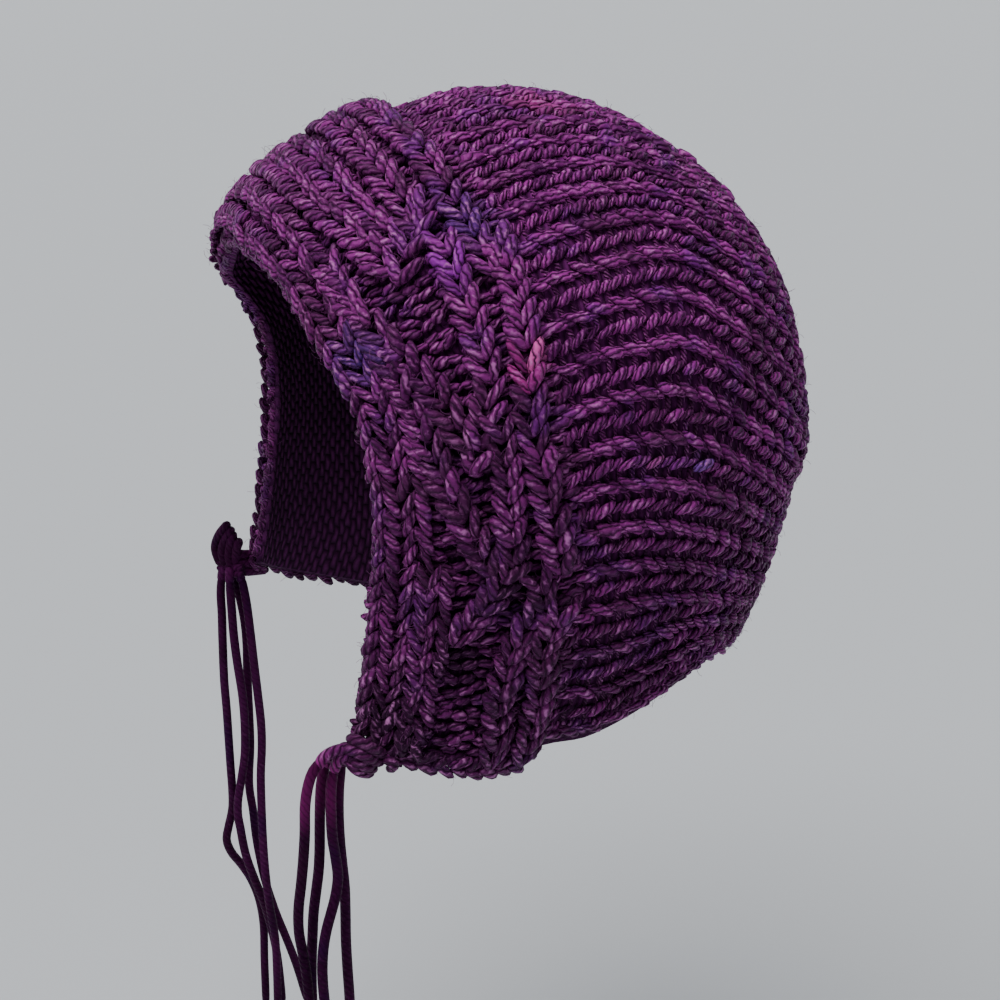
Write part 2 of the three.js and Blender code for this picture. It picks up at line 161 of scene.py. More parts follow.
# A spot on the band: girth in degrees, across 0 at the front edge to 1 at the rear.
def bandSpot(girth, across, lift):
    girth, across, lift = sameShape(girth, across, lift)
    front = np.arcsin(alongTable(bandEdges, 1, np.abs(girth)))
    rear = np.arcsin(alongTable(bandEdges, 2, np.abs(girth)))
    direction = directionAt(girth, np.sin(front + (rear - front) * across))
    return formPoint(direction, lift + bandRise(girth, across))


# Side of a wale from its number: 0 runs over the top, whole numbers are ribs, halves grooves.
def waleSide(number):
    n = np.abs(number)
    side = (n + crown["shift"] * smooth01(n / crown["over"])) / crown["perSide"]
    return np.sign(number) * np.minimum(side, 1)


# A spot on the crown: side -1 to 1 over the head, along 0 at the band to 1 at the back seam.
def crownSpot(side, along, lift):
    side, along, lift = sameShape(side, along, lift)
    c, share, hand = crown, np.abs(side), np.where(side < 0, -1.0, 1.0)
    girth = side * (bandEnd - c["hem"])
    turn = np.radians(girth)
    start = directionAt(girth, alongTable(bandEdges, 2, np.abs(girth)) + c["gap"] / form["radius"])
    fold = smooth01((share - c["foldFrom"]) / (c["foldTo"] - c["foldFrom"]))
    lowered = (1 - c["evenShare"]) * fold + c["evenShare"] * share
    low = np.radians(c["top"] + (c["nape"] - c["top"]) * lowered)
    end = np.stack([0 * low, np.cos(low), np.sin(low)], -1)
    back = unit(np.array([0, 1, 0]) - start * start[..., 1:2])
    up = np.stack([-hand * np.cos(turn), 0 * turn, hand * np.sin(turn)], -1)
    leave = start + c["leave"] * (back + up * (c["rise"] * smooth01(share / c["riseBy"]))[..., None])
    swing = np.pi / 2 * smooth01(share / c["turnBy"])
    sideways = np.stack([hand * np.sin(swing), -np.cos(swing) * np.sin(low),
                         np.cos(swing) * np.cos(low)], -1)
    arrive = end + c["arrive"] * sideways
    t = along[..., None]
    first, last = start * (1 - t) ** 3, end * t ** 3
    way = unit(first + 3 * leave * t * (1 - t) ** 2 + 3 * arrive * t * t * (1 - t) + last)
    raised = np.stack([0 * share, 0 * share, crownRaise(share, along, way[..., 1])], -1)
    return formPoint(way + raised, lift)


def crownRaise(share, along, y):
    arch = bell(y, earArch["back"], earArch["reach"]) * bell(share, earArch["side"], earArch["spread"])
    edge = smooth01((share - neckEdge["from"]) / (1 - neckEdge["from"]))
    edge = edge * smooth01(along / neckEdge["start"])
    bends = sum(lift * bell(y, middle, spread) for lift, middle, spread in neckEdge["bends"])
    return earArch["lift"] * arch + edge * bends


# Positions and outward normals of spots on either surface
def lineOn(spot, u, v, lift):
    e = 1e-3
    p = spot(u, v, lift)
    pu = spot(u + e, v, lift) - spot(u - e, v, lift)
    pv = spot(u, v + e, lift) - spot(u, v - e, lift)
    normal = unit(np.cross(pu, pv))
    centre = np.array([0, 0, form["centreZ"]])
    flip = np.sign(np.sum(normal * (p - centre), -1, keepdims=True))
    return p, normal * flip


# Places a pitch apart along a line: positions, tangents, normals and shares of its length
def spaced(points, normals, pitch, phase=0.5):
    steps = np.linalg.norm(np.diff(points, axis=0), axis=1)
    run = np.concatenate([[0], np.cumsum(steps)])
    count = max(1, int(run[-1] / pitch + 0.5 - phase))
    at = (np.arange(count) + phase) * run[-1] / max(count - 1 + 2 * phase, 1)

    def look(a, table):
        return np.stack([np.interp(a, run, table[:, k]) for k in range(3)], 1)

    p = look(at, points)
    tangent = unit(look(at + 0.4 * mm, points) - look(at - 0.4 * mm, points))
    n = look(at, normals)
    n = unit(n - tangent * np.sum(n * tangent, 1, keepdims=True))
    return p, tangent, n, at / run[-1]


# Geometry nodes: an empty tree with its inputs, and their identifiers
def addTree(name, inputs):
    tree = bpy.data.node_groups.new(name, "GeometryNodeTree")
    ids = {}
    for label, kind in {"Geometry": "Geometry", **inputs, "Material": "Material"}.items():
        socket = tree.interface.new_socket(label, in_out="INPUT", socket_type="NodeSocket" + kind)
        ids[label] = socket.identifier
    tree.interface.new_socket("Geometry", in_out="OUTPUT", socket_type="NodeSocketGeometry")
    return tree, ids


class Graph:
    def __init__(self, tree):
        self.tree = tree
        self.given = tree.nodes.new("NodeGroupInput")
        self.out = tree.nodes.new("NodeGroupOutput")

    def put(self, kind, inputs=None, **settings):
        node = self.tree.nodes.new(kind)
        for key, value in settings.items():
            setattr(node, key, value)
        for key, value in (inputs or {}).items():
            socket = node.inputs[key]
            if isinstance(value, bpy.types.NodeSocket):
                self.tree.links.new(value, socket)
            else:
                socket.default_value = value
        return node

    def math(self, operation, a, b=0.0, c=0.0):
        return self.put("ShaderNodeMath", {0: a, 1: b, 2: c}, operation=operation).outputs[0]

    def times(self, a, b):
        return self.math("MULTIPLY", a, b)

    # a times b, plus c
    def timesPlus(self, a, b, c):
        return self.math("MULTIPLY_ADD", a, b, c)

    def named(self, name):
        node = self.put("GeometryNodeInputNamedAttribute", {"Name": name}, data_type="FLOAT_VECTOR")
        return node.outputs["Attribute"]

    def store(self, geometry, name, value, kind):
        facts = {"Geometry": geometry, "Name": name, "Value": value}
        return self.put("GeometryNodeStoreNamedAttribute", facts, data_type=kind).outputs[0]

    # a round section along a path, which keeps where each spot lies along it and around it
    def sweep(self, path, factor, radius, sides):
        ring = self.put("GeometryNodeCurvePrimitiveCircle", {"Resolution": sides, "Radius": 1.0}).outputs[0]
        spot = self.put("GeometryNodeInputPosition").outputs[0]
        tube = self.put("GeometryNodeCurveToMesh", {
            "Curve": self.store(path, "runs", factor, "FLOAT"), "Scale": radius, "Fill Caps": True,
            "Profile Curve": self.store(ring, "around", spot, "FLOAT_VECTOR"),
        })
        return self.put("GeometryNodeSetShadeSmooth", {"Geometry": tube.outputs[0]}).outputs[0]

    def random(self, low, high, seed):
        facts = {"Min": low, "Max": high, "Seed": seed}
        return self.put("FunctionNodeRandomValue", facts, data_type="FLOAT_VECTOR").outputs[0]

    def turned(self, rotation, by):
        facts = {"Rotation": rotation, "Rotate By": by}
        return self.put("FunctionNodeRotateRotation", facts, rotation_space="LOCAL").outputs[0]

    # plain mesh in the material that the tree is given, as the tree's result
    def finish(self, geometry):
        real = self.put("GeometryNodeRealizeInstances", {"Geometry": geometry}).outputs[0]
        facts = {"Geometry": real, "Material": self.given.outputs["Material"]}
        painted = self.put("GeometryNodeSetMaterial", facts).outputs[0]
        self.tree.links.new(painted, self.out.inputs[0])


# One bow of yarn on every point: it lies along "lie", its back faces "face", "size" scales it.
def stitchTree():
    counts, shares = ("Rings", "Sides", "Seed"), ("Bow", "Taper", "Wander")
    tree, ids = addTree("stitches", dict.fromkeys(counts, "Int") | dict.fromkeys(shares, "Float"))
    g = Graph(tree)
    given = g.given.outputs
    line = g.put("GeometryNodeCurvePrimitiveLine", {"Start": (-0.5, 0, 0), "End": (0.5, 0, 0)})
    path = g.put("GeometryNodeResampleCurve", {"Curve": line.outputs[0], "Count": given["Rings"]})
    factor = g.put("GeometryNodeSplineParameter").outputs["Factor"]
    centred = g.timesPlus(factor, 2.0, -1.0)
    square = g.times(centred, centred)
    drop = g.times(g.times(square, given["Bow"]), -1.0)
    offset = g.put("ShaderNodeCombineXYZ", {"Z": drop}).outputs[0]
    bent = g.put("GeometryNodeSetPosition", {"Geometry": path.outputs[0], "Offset": offset})
    thin = g.times(g.times(square, square), given["Taper"])
    radius = g.times(g.math("SUBTRACT", 1.0, thin), 0.5)
    bow = g.sweep(bent.outputs[0], factor, radius, given["Sides"])
    axes = {"Primary Axis": g.named("lie"), "Secondary Axis": g.named("face")}
    turn = g.put("FunctionNodeAxesToRotation", axes, primary_axis="X", secondary_axis="Z")
    stray = g.random((-1, -1, -1), (1, 1, 1), given["Seed"])
    strayBy = g.put("ShaderNodeVectorMath", {0: stray, "Scale": given["Wander"]}, operation="SCALE")
    each = g.put("GeometryNodeInstanceOnPoints", {
        "Points": given["Geometry"], "Instance": bow, "Scale": g.named("size"),
        "Rotation": g.turned(turn.outputs[0], strayBy.outputs[0]),
    })
    g.finish(each.outputs[0])
    return tree, ids


# A yarn along a polyline of the mesh, round in section and drawn in at its very ends.
def strandTree():
    tree, ids = addTree("yarn along a path", {"Thickness": "Float", "Step": "Float", "Sides": "Int"})
    g = Graph(tree)
    given = g.given.outputs
    endSharpness, endTaper = 60.0, 0.3
    curve = g.put("GeometryNodeMeshToCurve", {"Mesh": given["Geometry"]}).outputs[0]
    path = g.put("GeometryNodeResampleCurve", {"Curve": curve, "Length": given["Step"]}, mode="LENGTH")
    factor = g.put("GeometryNodeSplineParameter").outputs["Factor"]
    centred = g.timesPlus(factor, 2.0, -1.0)
    endness = g.math("POWER", g.math("ABSOLUTE", centred), endSharpness)
    narrowed = g.math("SUBTRACT", 1.0, g.times(endness, endTaper))
    radius = g.times(narrowed, g.times(given["Thickness"], 0.5))
    g.finish(g.sweep(path.outputs[0], factor, radius, given["Sides"]))
    return tree, ids


# Runs a tree on an object and leaves a plain mesh.
def grow(obj, tree, ids, values):
    modifier = obj.modifiers.new("grow", "NODES")
    modifier.node_group = tree
    for label, value in values.items():
        modifier[ids[label]] = value
    bpy.context.view_layer.update()
    depsgraph = bpy.context.evaluated_depsgraph_get()
    grown = obj.evaluated_get(depsgraph)
    mesh = bpy.data.meshes.new_from_object(grown, preserve_all_data_layers=True, depsgraph=depsgraph)
    obj.modifiers.clear()
    seedMesh = obj.data
    obj.data = mesh
    bpy.data.meshes.remove(seedMesh)
    mesh.name = obj.name
    return obj


def addObject(name, data):
    obj = bpy.data.objects.new(name, data)
    bpy.context.collection.objects.link(obj)
    return obj


# Yarn material: plies that wind round each strand, dyed in uneven purples
yarnLook = {
    "plies": 4, "twist": 48, "ridge": 0.4 * mm, "rough": 0.5, "neck": -0.105, "top": -0.015,
    "deep": (0.024, 0.001, 0.025), "body": (0.070, 0.002, 0.068), "bright": (0.300, 0.026, 0.255),
    "glint": (0.56, 0.19, 0.49), "violet": (0.115, 0.012, 0.200), "dull": (0.105, 0.016, 0.080),
    "specular": 0.25, "specularTint": (0.95, 0.4, 0.88, 1),
    "sheen": 0.08, "sheenTint": (0.85, 0.3, 0.78, 1),
    "fibreScale": 1.6, "fibreRun": 5.0, "strayScale": 750.0, "stray": 0.9, "tonePhase": 3.7,
}
# Uneven dye: the size of the noise, how a strand's own tone moves it, where it shows and how strongly
dyeing = {
    "body": {"scale": 62.0, "byTone": 0.74, "byNoise": 0.85, "contrast": 1.7, "offset": -1.1},
    "violet": {"scale": 110.0, "detail": 1.5, "byTone": 0.12, "from": 0.6, "to": 0.74, "share": 0.6},
    "dull": {"scale": 85.0, "detail": 2.0, "byTone": -0.15, "from": 0.44, "to": 0.58, "share": 0.55},
}
# Where a shade or a glint starts, and where it is full
ranges = {
    "betweenPlies": (0.2, 0.95), "stitchEnds": (-0.45, 0.5), "glintRidge": (0.35, 1.0),
    "glintFibre": (0.47, 0.66), "glintMiddle": (0.5, 1.0), "glintTone": (-0.3, 0.9),
}
glintMost = 0.9
halfTurn, fullTurn = 3.14159, 6.28319


class ShaderGraph(Graph):
    def __init__(self, name):
        self.material = bpy.data.materials.new(name)
        self.material.use_nodes = True
        self.tree = self.material.node_tree
        self.tree.nodes.clear()
        self.out = self.tree.nodes.new("ShaderNodeOutputMaterial")

    def mix(self, factor, *colours):
        a, b = ((*colour, 1) if isinstance(colour, tuple) else colour for colour in colours)
        return self.put("ShaderNodeMix", {0: factor, 6: a, 7: b}, data_type="RGBA").outputs[2]

    def range(self, value, low, high, least=0.0, most=1.0, kind="SMOOTHSTEP"):
        facts = {"Value": value, "From Min": low, "From Max": high, "To Min": least, "To Max": most}
        return self.put("ShaderNodeMapRange", facts, interpolation_type=kind).outputs["Result"]

    def attribute(self, name, output="Fac"):
        return self.put("ShaderNodeAttribute", attribute_name=name).outputs[output]

    def place(self):
        return self.put("ShaderNodeTexCoord").outputs["Object"]

    def noise(self, at, scale, detail, roughness=0.5, output=0):
        facts = {"Vector": at, "Scale": scale, "Detail": detail, "Roughness": roughness}
        return self.put("ShaderNodeTexNoise", facts).outputs[output]

    # painted shade: the colour's value falls from "most" at the height "high" to "least" at "low"
    def paler(self, colour, low, high, least, most):
        height = self.put("ShaderNodeSeparateXYZ", {0: self.place()}).outputs[2]
        value = self.range(height, low, high, least, most, "LINEAR")
        return self.put("ShaderNodeHueSaturation", {"Value": value, "Color": colour}).outputs[0]

    def bump(self, height, distance):
        facts = {"Strength": 1.0, "Distance": distance, "Height": height}
        return self.put("ShaderNodeBump", facts).outputs[0]

    def surface(self, inputs):
        shader = self.put("ShaderNodeBsdfPrincipled", inputs)
        self.tree.links.new(shader.outputs[0], self.out.inputs[0])
        return self.material


def yarnMaterial(name, shade=1.0, gloss=1.0, twistDepth=1.0, neckShade=0.6):
    look = yarnLook
    g = ShaderGraph(name)
    around = g.put("ShaderNodeSeparateXYZ", {0: g.attribute("around", "Vector")})
    angle = g.math("DIVIDE", g.math("ARCTAN2", around.outputs[1], around.outputs[0]), fullTurn)
    along, tone, place = g.attribute("runs"), g.attribute("tone"), g.place()
    runs = g.times(along, g.attribute("turns"))
    # plies that wind round the strand, and the fibres in them
    wound = g.times(g.math("ADD", angle, runs), look["plies"])
    stray = g.noise(place, look["strayScale"], 1.0)
    phase = g.timesPlus(stray, look["stray"], g.timesPlus(tone, look["tonePhase"], wound))
    ridge = g.math("SINE", g.times(g.math("FRACT", phase), halfTurn))
    fibreAt = {0: g.times(phase, 0.9), 1: g.times(runs, look["fibreRun"]), 2: g.times(tone, 40.0)}
    fibre = g.noise(g.put("ShaderNodeCombineXYZ", fibreAt).outputs[0], look["fibreScale"], 2.0, 0.6)
    middle = g.math("SINE", g.times(along, halfTurn))
    # dye
    dye = dyeing["body"]
    lift = g.timesPlus(g.noise(place, dye["scale"], 2.5, 0.55), dye["byNoise"], -0.04)
    strandTone = g.timesPlus(fibre, 0.6, g.timesPlus(tone, dye["byTone"], lift))
    share = g.timesPlus(strandTone, dye["contrast"], dye["offset"])
    colour = g.mix(share, look["body"], look["bright"])
    for tint in ("violet", "dull"):
        dye = dyeing[tint]
        uneven = g.timesPlus(tone, dye["byTone"], g.noise(place, dye["scale"], dye["detail"]))
        share = g.times(g.range(uneven, dye["from"], dye["to"]), dye["share"])
        colour = g.mix(share, colour, look[tint])
    # patch colours on the points: dye, and painted shade in the hollows low on the band
    colour = g.mix(g.attribute("dyeShare"), colour, g.attribute("dye", "Color"))
    # shade between the plies and at the ends of a stitch, and towards the neck
    raised = g.range(g.timesPlus(fibre, 0.5, ridge), *ranges["betweenPlies"])
    raised = g.timesPlus(raised, twistDepth, 1 - twistDepth)
    colour = g.mix(raised, look["deep"], colour)
    colour = g.mix(g.range(middle, *ranges["stitchEnds"]), look["deep"], colour)
    colour = g.paler(colour, look["neck"], look["top"], shade * neckShade, shade)
    # glints on single fibres
    shine = g.range(ridge, *ranges["glintRidge"])
    for value, where in ((fibre, "glintFibre"), (middle, "glintMiddle"), (tone, "glintTone")):
        shine = g.times(shine, g.range(value, *ranges[where]))
    colour = g.mix(g.times(shine, glintMost * min(1, gloss * shade)), colour, look["glint"])
    bump = g.bump(g.timesPlus(fibre, 0.3, ridge), look["ridge"] * twistDepth)
    return g.surface({
        "Base Color": colour, "Roughness": look["rough"], "Normal": bump,
        "Specular IOR Level": look["specular"] * gloss, "Specular Tint": look["specularTint"],
        "Sheen Weight": look["sheen"] * gloss, "Sheen Tint": look["sheenTint"],
    })


# below "to" the wall's colour darkens to "low" at "from": painted shade lower down
wallLook = {
    "from": -0.050, "to": -0.005, "low": 0.36, "dyeScale": 62.0, "fuzzScale": 700.0,
    "pullScale": 330.0, "pull": 0.45, "depth": 1.1 * mm,
}


# The purl side as seen from inside: two stacks of bumps to a column of the "stitch" coordinates
def wallMaterial(name, low, high):
    look = wallLook
    g = ShaderGraph(name)
    place = g.place()
    uneven = g.noise(place, look["pullScale"], 1.0, output="Color")
    pull = {0: uneven, 1: (look["pull"], look["pull"], 0.0), 2: g.attribute("stitch", "Vector")}
    pulled = g.put("ShaderNodeVectorMath", pull, operation="MULTIPLY_ADD")
    stitch = g.put("ShaderNodeSeparateXYZ", {0: pulled.outputs[0]})
    halves = g.times(stitch.outputs[0], 2.0)
    shifted = g.times(g.math("FLOORED_MODULO", g.math("FLOOR", halves), 2.0), 0.5)
    rowAt = g.times(g.math("ADD", stitch.outputs[1], shifted), halfTurn)
    row = g.math("ABSOLUTE", g.math("SINE", rowAt))
    column = g.math("ABSOLUTE", g.math("SINE", g.times(halves, halfTurn)))
    ridge = g.times(g.math("POWER", row, 0.8), g.math("POWER", column, 0.6))
    fuzz = g.noise(place, look["fuzzScale"], 3.0)
    # colour: darker between the bumps and lower down as painted shade, and uneven with the noise
    tint = g.times(ridge, g.math("ADD", fuzz, g.noise(place, look["dyeScale"], 2.5)))
    colour = g.paler(g.mix(tint, low, high), look["from"], look["to"], look["low"], 1.0)
    height = g.timesPlus(fuzz, 0.35, ridge)
    return g.surface({"Base Color": colour, "Roughness": 0.85, "Specular IOR Level": 0.15,
                      "Normal": g.bump(height, look["depth"])})


# Copies of one yarn at different values: the ladder and purl yarn lie deep in the fabric and are darker as
# painted shade
bandYarn = yarnMaterial("band yarn", shade=0.86, neckShade=0.42)
crownYarn = yarnMaterial("crown yarn", shade=1.08)
rungYarn = yarnMaterial("ladder yarn", shade=0.8, neckShade=0.2)
purlYarn = yarnMaterial("purl yarn", shade=0.78)
tieYarn = yarnMaterial("tie yarn", shade=0.3, gloss=0.2, twistDepth=0.35)
knotYarn = yarnMaterial("knot yarn", shade=0.9, neckShade=0.48)
# each wall's darker colour shows between the bumps as painted shade, and where the noise is low
groundKnit = wallMaterial("knit ground", (0.120, 0.008, 0.118), (0.185, 0.016, 0.175))
insideKnit = wallMaterial("purl side", (0.040, 0.002, 0.041), (0.240, 0.028, 0.220))

# Patches of other colour: centre and radius in mm, colour, how strong. Most are dye that ran differently;
# the four near-black ones low on the band are painted shade in its hollows, and the one by the near knot
# lightens the tops of the near ties.
dyeAndShadePatches = [
    ((37.3, -39.6, -33.4), 4.2, (0.060, 0.022, 0.20), 0.85),
    ((35.5, -19.0, -11.0), 5.0, (0.085, 0.022, 0.20), 0.8),
    ((39.9, -23.9, -17.6), 3.8, (0.330, 0.020, 0.42), 0.95),
    ((52.1, -12.0, -32.0), 2.3, (0.900, 0.130, 0.52), 1.0),
    ((52.0, -15.4, -33.5), 2.8, (0.520, 0.030, 0.31), 0.9),
    ((54.2, 16.5, -51.5), 2.2, (0.150, 0.060, 0.34), 0.85),
    ((55.7, 6.5, -50.4), 1.8, (0.420, 0.080, 0.30), 0.8),
    # near-black patches: painted shade in the hollows of the band's lower corner
    ((46.6, -37.6, -93.6), 5.0, (0.016, 0.001, 0.020), 0.9),
    ((48.0, -33.5, -99.5), 3.6, (0.016, 0.001, 0.020), 0.85),
    ((50.4, -26.2, -84.4), 4.6, (0.016, 0.001, 0.020), 0.9),
    ((53.7, -17.4, -72.1), 3.8, (0.016, 0.001, 0.020), 0.85),
    ((41.6, -28.0, -23.5), 3.0, (0.030, 0.002, 0.034), 0.6),
    ((44.6, -50.2, -107.5), 5.5, (0.950, 0.050, 0.620), 0.9),
    ((7.6, 3.7, 2.9), 5.5, (0.420, 0.050, 0.26), 0.75),
]


dyeAndShadeReach = 1.5


# Colour of the patch at each point, and its share: full within half a radius, none past the reach
def dyeAndShadeAt(points):
    colour = np.zeros((len(points), 4))
    colour[:, 3] = 1
    share = np.zeros(len(points))
    for centre, radius, patchColour, strength in dyeAndShadePatches:
        away = np.linalg.norm(points - np.array(centre) * mm, axis=1) / (radius * mm)
        here = np.clip(dyeAndShadeReach - away, 0, 1) * strength
        stronger = here > share
        colour[stronger, :3] = patchColour
        share[stronger] = here[stronger]
    return colour, share


kindFields = {"FLOAT": "value", "FLOAT_VECTOR": "vector", "FLOAT_COLOR": "color"}


def storeOnPoints(mesh, facts):
    for key, (kind, values) in facts.items():
        flat = np.ascontiguousarray(values, dtype=np.float32).ravel()
        mesh.attributes.new(key, kind, "POINT").data.foreach_set(kindFields[kind], flat)


# One value or one vector for every stitch of the rows, from a number or an array in each row
def gathered(rows, key):
    return np.concatenate([row[key] if np.ndim(row[key]) else np.full(len(row["place"]), row[key])
                           for row in rows])


def turnsOf(length, thick):
    return length * np.tan(np.radians(yarnLook["twist"])) / (np.pi * thick)


# How far stitches differ from one another, as shares of their size
stitchSpread = {"thick": 0.11, "length": 0.06}


# Points with what the stitch tree reads on each
def stitchPoints(name, rows, seed, scatter):
    rng = np.random.default_rng(seed)
    place = np.concatenate([row["place"] for row in rows])
    place = place + scatter * rng.standard_normal(place.shape)
    count = len(place)
    length, thick = gathered(rows, "length"), gathered(rows, "thick")
    thicker = 1 + stitchSpread["thick"] * rng.standard_normal(count)
    longer = 1 + stitchSpread["length"] * rng.standard_normal(count)
    size = np.stack([length * longer, thick * thicker, thick * thicker], 1)
    mesh = bpy.data.meshes.new(name)
    mesh.from_pydata(place.tolist(), [], [])
    colour, share = dyeAndShadeAt(place)
    storeOnPoints(mesh, {
        "lie": ("FLOAT_VECTOR", gathered(rows, "lie")), "face": ("FLOAT_VECTOR", gathered(rows, "face")),
        "size": ("FLOAT_VECTOR", size), "tone": ("FLOAT", rng.random(count)),
        "turns": ("FLOAT", turnsOf(length, thick)),
        "dye": ("FLOAT_COLOR", colour), "dyeShare": ("FLOAT", share),
    })
    return addObject(name, mesh)


stitches, stitchIds = stitchTree()
strandGrow, strandIds = strandTree()


def knit(name, rows, material, seed, sides=8, rings=5, bow=0.16, taper=0.6, wander=0.06,
         scatter=0.08 * mm):
    obj = stitchPoints(name, rows, seed, scatter)
    grow(obj, stitches, stitchIds, {"Rings": rings, "Sides": sides, "Bow": bow, "Taper": taper,
                                    "Seed": seed, "Wander": wander, "Material": material})
    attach(obj, "root")
    print(name, len(obj.data.polygons), "faces")


# Legs of V stitches on both sides of a line, leaning apart by a tilt in degrees
def chain(points, normals, pitch, half, tilt, length, thick):
    p, t, n, _ = spaced(points, normals, pitch)
    across, lean = unit(np.cross(n, t)), np.radians(tilt)
    return [{"place": p + across * leg * half, "lie": t * np.cos(lean) + across * leg * np.sin(lean),
             "face": n, "length": length, "thick": thick} for leg in (1, -1)]


# The ties, four strands a side, on the routes of the solids
ties = {"thickness": 1.9 * mm, "step": 1.2 * mm, "tone": 0.15, "toneStep": 0.09}
tieRoutes = {
    "tie_left_1": [
        (44.5, -48.6, -101.4), (44.6, -50.2, -103.0), (44.8, -51.3, -105.6), (44.8, -52.0, -109.5),
        (44.6, -52.2, -115.0), (44.4, -52.6, -120.2), (44.2, -53.1, -125.0), (44.0, -53.7, -130.0),
        (44.0, -53.8, -134.6), (44.2, -53.3, -139.0), (44.4, -52.8, -144.0), (44.6, -52.5, -150.0),
        (44.6, -52.2, -158.0), (44.4, -51.6, -167.0), (44.2, -51.0, -177.0), (44.2, -50.8, -187.0),
        (44.4, -51.0, -198.0), (44.6, -51.2, -209.0),
    ],
    "tie_left_2": [
        (41.6, -47.0, -103.6), (41.3, -47.7, -105.2), (41.1, -48.2, -108.0), (41.0, -48.5, -112.0),
        (41.0, -48.7, -116.4), (41.2, -48.9, -120.6), (41.2, -49.2, -124.6), (41.2, -49.8, -128.8),
        (41.2, -50.4, -133.0), (41.3, -50.8, -138.0), (41.4, -51.2, -144.0), (41.4, -51.3, -150.9),
        (41.3, -51.0, -160.0), (41.1, -50.2, -170.0), (41.0, -49.4, -180.0), (41.0, -49.0, -191.0),
        (41.2, -48.8, -202.0), (41.2, -48.8, -212.0),
    ],
    "tie_left_3": [
        (44.3, -46.5, -103.5), (44.4, -47.0, -105.4), (44.4, -47.3, -108.0), (44.4, -47.4, -112.3),
        (44.4, -47.3, -116.8), (44.3, -46.8, -121.0), (44.2, -46.5, -125.0), (44.6, -47.2, -128.6),
        (45.0, -48.2, -131.6), (45.4, -49.2, -134.6), (45.8, -50.0, -138.4), (46.4, -50.4, -143.0),
        (46.8, -50.2, -149.0), (46.9, -49.4, -158.0), (46.7, -48.5, -168.0), (46.5, -47.9, -179.0),
        (46.4, -47.8, -190.0), (46.6, -48.0, -206.0),
    ],
    "tie_left_4": [
        (41.9, -44.6, -103.3), (41.5, -45.0, -107.4), (41.3, -45.2, -110.4), (41.2, -45.3, -114.8),
        (41.2, -45.2, -119.6), (41.2, -44.9, -124.4), (41.2, -44.6, -129.0), (41.2, -44.6, -134.0),
        (41.3, -44.7, -139.6), (41.4, -44.6, -145.6), (41.5, -44.4, -152.5), (41.6, -44.4, -162.0),
        (41.8, -44.8, -173.0), (42.0, -45.3, -184.0), (42.0, -45.5, -195.0), (41.8, -45.4, -210.0),
    ],
    "tie_right_1": [
        (-44.6, -48.2, -102.0), (-44.3, -48.6, -106.0), (-44.2, -48.6, -110.5), (-44.0, -48.8, -117.2),
        (-44.0, -48.9, -125.9), (-44.0, -48.7, -132.8), (-44.0, -48.6, -140.0), (-44.0, -48.5, -147.1),
        (-44.0, -48.4, -152.6), (-44.0, -48.6, -157.1), (-44.1, -49.6, -161.4), (-44.3, -50.2, -164.8),
        (-44.7, -49.2, -168.4), (-45.1, -47.0, -172.2), (-45.4, -44.9, -176.6), (-45.5, -43.3, -182.2),
        (-45.5, -42.6, -189.0), (-45.4, -42.8, -198.0), (-45.4, -42.9, -210.0),
    ],
    "tie_right_2": [
        (-42.1, -47.0, -101.9), (-41.4, -47.0, -107.0), (-41.4, -46.8, -114.7), (-41.4, -46.3, -121.5),
        (-41.4, -45.6, -128.8), (-41.4, -45.4, -135.7), (-41.4, -45.7, -142.7), (-41.4, -46.7, -148.6),
        (-41.4, -47.7, -153.8), (-41.4, -47.9, -157.5), (-41.4, -47.5, -161.0), (-41.4, -47.1, -164.6),
        (-41.4, -46.4, -168.8), (-41.4, -44.9, -174.4), (-41.5, -42.9, -181.3), (-41.6, -41.3, -189.5),
        (-41.6, -40.4, -197.0), (-41.6, -39.8, -208.0),
    ],
    "tie_right_3": [
        (-44.6, -45.4, -101.9), (-44.2, -44.4, -108.4), (-44.2, -43.8, -113.1), (-44.2, -43.6, -118.5),
        (-44.2, -43.8, -126.7), (-44.2, -43.8, -134.4), (-44.2, -43.9, -142.4), (-44.2, -44.5, -149.6),
        (-44.2, -44.5, -153.6), (-44.2, -44.0, -158.4), (-44.2, -43.6, -165.1), (-44.1, -42.9, -171.1),
        (-44.0, -42.0, -176.8), (-43.9, -40.0, -185.2), (-43.9, -37.9, -192.2), (-43.9, -35.7, -200.1),
        (-43.9, -33.4, -210.5),
    ],
    "tie_right_4": [
        (-42.1, -44.4, -101.8), (-41.1, -43.8, -107.4), (-41.0, -43.3, -114.1), (-41.0, -42.8, -121.9),
        (-41.0, -42.3, -129.1), (-41.0, -41.9, -136.1), (-41.0, -42.0, -141.9), (-41.0, -42.5, -148.4),
        (-40.8, -42.7, -155.6), (-40.0, -42.9, -162.0), (-39.0, -43.0, -168.4), (-38.5, -42.8, -174.6),
        (-38.4, -42.3, -181.0), (-38.4, -41.5, -188.4), (-38.5, -41.4, -196.6), (-38.5, -41.6, -207.0),
    ],
}


# A smooth line through given points
def smoothLine(points, perSpan=8):
    p = np.asarray(points, float)
    padded = np.vstack([2 * p[0] - p[1], p, 2 * p[-1] - p[-2]])
    t = np.linspace(0, 1, perSpan, endpoint=False)[:, None]
    out = []
    for a, b, c, d in zip(padded[:-3], padded[1:-2], padded[2:-1], padded[3:]):
        bend, twist = 2 * a - 5 * b + 4 * c - d, 3 * b - a - 3 * c + d
        out.append(0.5 * (2 * b + (c - a) * t + bend * t ** 2 + twist * t ** 3))
    return np.vstack([*out, p[-1:]])


def lengthOf(line):
    return float(np.linalg.norm(np.diff(line, axis=0), axis=1).sum())


yarnSides = 12


